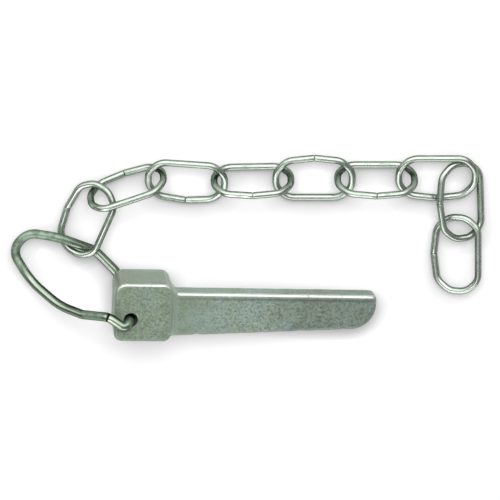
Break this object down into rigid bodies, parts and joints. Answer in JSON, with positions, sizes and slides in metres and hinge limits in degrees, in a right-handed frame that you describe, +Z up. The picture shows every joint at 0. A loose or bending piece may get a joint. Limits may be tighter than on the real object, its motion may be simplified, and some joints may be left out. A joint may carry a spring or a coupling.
{
  "type": "lynch pin",
  "caption": "Flat tapered lynch pin with a block head, a wire ring through the head and a tether of open butt-jointed chain links, for locking a tailboard, gate or drawbar.",
  "frame": {"origin": "centre of the resting assembly in plan, at the level of the surface that it lies on", "axes": "+X along the pin from its head to its tip, +Y from the pin towards the chain, +Z up from the surface"},
  "size_m": [0.196, 0.0743, 0.0333],
  "materials": {
    "pin_zinc": "zinc plated over a lightly pitted forged surface",
    "ring_zinc": "zinc plated bent steel wire",
    "chain_zinc": "bright zinc plated steel wire"
  },
  "bodies": {
    "pin": {"pin": "pin_zinc"},
    "ring": {"ring": "ring_zinc"},
    "link_1": {"link_1": "chain_zinc"},
    "link_2": {"link_2": "chain_zinc"},
    "link_3": {"link_3": "chain_zinc"},
    "link_4": {"link_4": "chain_zinc"},
    "link_5": {"link_5": "chain_zinc"},
    "link_6": {"link_6": "chain_zinc"},
    "link_7": {"link_7": "chain_zinc"},
    "link_8": {"link_8": "chain_zinc"},
    "link_9": {"link_9": "chain_zinc"}
  },
  "joints": [
    {"name": "ring_swing", "type": "hinge", "parent": "pin", "child": "ring", "pos_m": [-0.05051, -0.02838, 0.00415], "axis": [0.108, -0.0051, 0.9941], "range_deg": [-20, 35]},
    {"name": "link_1_on_ring", "type": "hinge", "parent": "ring", "child": "link_1", "pos_m": [-0.07079, -0.00212, 0.0044], "axis": [0.8648, -0.404, -0.2982], "range_deg": [-90, 70]},
    {"name": "link_2_on_link_1", "type": "hinge", "parent": "link_1", "child": "link_2", "pos_m": [-0.05976, 0.02284, 0.00822], "axis": [0.8326, -0.4253, 0.3549], "range_deg": [-60, 35]},
    {"name": "link_3_on_link_2", "type": "hinge", "parent": "link_2", "child": "link_3", "pos_m": [-0.03631, 0.02978, 0.00601], "axis": [0, 0, 1], "range_deg": [-20, 45]},
    {"name": "link_4_on_link_3", "type": "hinge", "parent": "link_3", "child": "link_4", "pos_m": [-0.0094, 0.02377, 0.00563], "axis": [0.0632, 0.9041, 0.4226], "range_deg": [-90, 90]},
    {"name": "link_5_on_link_4", "type": "hinge", "parent": "link_4", "child": "link_5", "pos_m": [0.01777, 0.02632, 0.00922], "axis": [-0.0077, 0.4383, -0.8988], "range_deg": [-5, 45]},
    {"name": "link_6_on_link_5", "type": "hinge", "parent": "link_5", "child": "link_6", "pos_m": [0.04307, 0.02527, 0.00409], "axis": [0, 0.9511, 0.309], "range_deg": [-60, 5]},
    {"name": "link_7_on_link_6", "type": "hinge", "parent": "link_6", "child": "link_7", "pos_m": [0.06505, 0.0299, 0.00282], "axis": [0, 0, 1], "range_deg": [-25, 40]},
    {"name": "link_8_on_link_7", "type": "hinge", "parent": "link_7", "child": "link_8", "pos_m": [0.09158, 0.03173, 0.00626], "axis": [0, 0, 1], "range_deg": [0, 45]},
    {"name": "link_9_on_link_8", "type": "hinge", "parent": "link_8", "child": "link_9", "pos_m": [0.094, 0.00255, 0.00348], "axis": [0, 0, 1], "range_deg": [-35, 30]}
  ]
}
